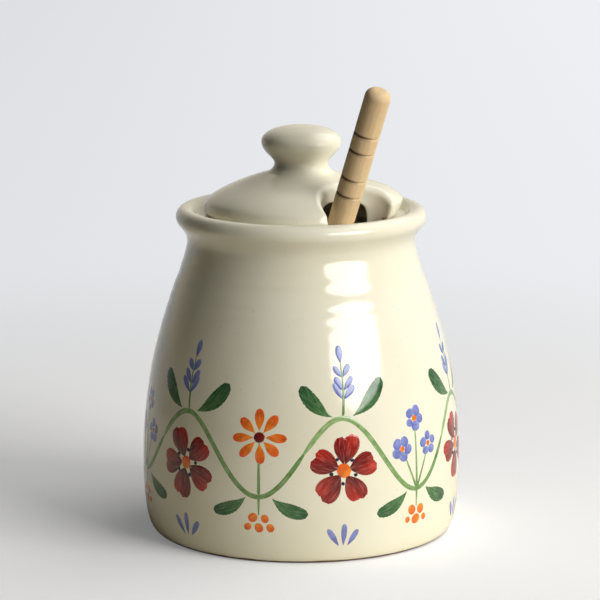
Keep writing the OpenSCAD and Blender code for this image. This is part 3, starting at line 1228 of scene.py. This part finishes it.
def make_camera():
    """A long lens that looks down a little at the front of the pot."""
    camera = bpy.data.objects.new("camera", bpy.data.cameras.new("camera"))
    camera.data.sensor_width = SENSOR_W
    camera.data.lens = CAMERA_LENS
    camera.location = Vector(CAMERA_AT) * MM
    target = Vector(CAMERA_AIM) * MM
    camera.rotation_euler = (target - camera.location).to_track_quat("-Z", "Y").to_euler()
    camera.data.clip_end = VIEW_REACH
    bpy.context.scene.collection.objects.link(camera)
    bpy.context.scene.camera = camera


def area_light(name, shape, heading, elevation, distance, width, height, radiance):
    """A flat lamp that faces the pot, and its object. Radiance is what its mirror image shows."""
    data = bpy.data.lights.new(name, "AREA")
    data.shape = shape
    data.size = width
    data.size_y = height
    filled = math.pi / 4 if shape == "ELLIPSE" else 1
    data.energy = radiance * math.pi * width * height * filled
    data.color = LAMP_COLOUR
    lamp = bpy.data.objects.new(name, data)
    h = math.radians(heading)
    e = math.radians(elevation)
    away = Vector((math.sin(h) * math.cos(e), -math.cos(h) * math.cos(e), math.sin(e)))
    lamp.location = Vector(LAMP_AIM) + away * distance
    lamp.rotation_euler = away.to_track_quat("Z", "Y").to_euler()
    bpy.context.scene.collection.objects.link(lamp)
    return lamp


def make_lamps():
    """A window to the right of the camera, its shine in the glaze, and two soft screens."""
    window = area_light("window", *WINDOW)
    window.visible_glossy = False
    shine = area_light("window_shine", *WINDOW_SHINE)
    shine.visible_diffuse = False
    area_light("top_screen", *TOP_SCREEN)
    area_light("back_screen", *BACK_SCREEN)


def floor_paper():
    """Pale paper that takes the pot's shadow, and whose far part glows for the camera and in reflections."""
    shader = Shader(bpy.data.materials.new("floor_paper"))
    rays = shader.node("ShaderNodeLightPath").outputs
    place = shader.place()
    x, y = shader.split(place)[:2]
    length = shader.node("ShaderNodeVectorMath", operation="LENGTH")
    shader.link(place, length.inputs[0])
    apart = length.outputs["Value"]
    backward = shader.math("DIVIDE", y, apart)
    behind = shader.ramp(backward, BEHIND_FROM, BEHIND_FULL, BEHIND_DIM, FLOOR_BRIGHT)
    mirrored = shader.math("MULTIPLY", rays["Is Glossy Ray"], behind)
    seen = shader.math("MAXIMUM", rays["Is Camera Ray"], mirrored)
    glow = shader.mix(shader.ramp(x, FLOOR_LEFT, FLOOR_RIGHT), GLOW_LEFT, GLOW_RIGHT)
    diffuse = shader.node("ShaderNodeBsdfDiffuse")
    shader.plug(diffuse.inputs["Color"], shader.mix(seen, FLOOR_UNSEEN, FLOOR_SEEN))
    near_strength = shader.math("MULTIPLY", seen, FLOOR_NEAR_GLOW)
    near = shader.node("ShaderNodeAddShader")
    shader.link(diffuse.outputs[0], near.inputs[0])
    shader.link(shader.glow("ShaderNodeEmission", glow, near_strength), near.inputs[1])
    far_strength = shader.math("ADD", shader.math("MULTIPLY", seen, FLOOR_FAR_GLOW), FLOOR_BOUNCE)
    far = shader.glow("ShaderNodeEmission", glow, far_strength)
    shader.surface(shader.choose(shader.ramp(apart, FLOOR_NEAR, FLOOR_FAR), near.outputs[0], far))
    return shader.owner


def make_floor():
    """A wide round floor under the pot."""
    angles = np.linspace(0, 2 * math.pi, FLOOR_SIDES + 1)[:-1]
    ring = [(FLOOR_R * math.cos(a), FLOOR_R * math.sin(a), 0) for a in angles]
    mesh = bpy.data.meshes.new("floor")
    mesh.from_pydata(ring, [], [tuple(range(FLOOR_SIDES))])
    mesh.materials.append(floor_paper())
    floor = bpy.data.objects.new("floor", mesh)
    bpy.context.scene.collection.objects.link(floor)


def make_world():
    """Dim warm room light on the object, with a pale surround for the camera and in reflections."""
    world = bpy.data.worlds.new("studio")
    bpy.context.scene.world = world
    shader = Shader(world, "ShaderNodeOutputWorld")
    rays = shader.node("ShaderNodeLightPath").outputs
    direction = shader.node("ShaderNodeTexCoord").outputs["Generated"]
    backward = shader.split(direction)[1]
    behind = shader.ramp(backward, BEHIND_FROM, BEHIND_FULL, BEHIND_DIM, MIRRORED_BRIGHT)
    room = shader.glow("ShaderNodeBackground", ROOM, ROOM_STRENGTH)
    mirror = shader.glow("ShaderNodeBackground", MIRRORED, behind)
    pale = shader.glow("ShaderNodeBackground", PALE, PALE_STRENGTH)
    unseen = shader.choose(rays["Is Glossy Ray"], room, mirror)
    shader.surface(shader.choose(rays["Is Camera Ray"], unseen, pale))


def main():
    """Builds the studio and dresses every solid of the frame."""
    make_camera()
    make_world()
    make_floor()
    make_lamps()
    make_pot(cream_glaze())
    make_lid(lid_glaze())
    axis, spans = dipper_axis()
    wood = beech()
    make_handle(axis, spans, wood)
    make_head(axis, spans, wood)
    make_garland(painted_glaze())


bpy.context.scene.view_settings.view_transform = "Standard"
main()
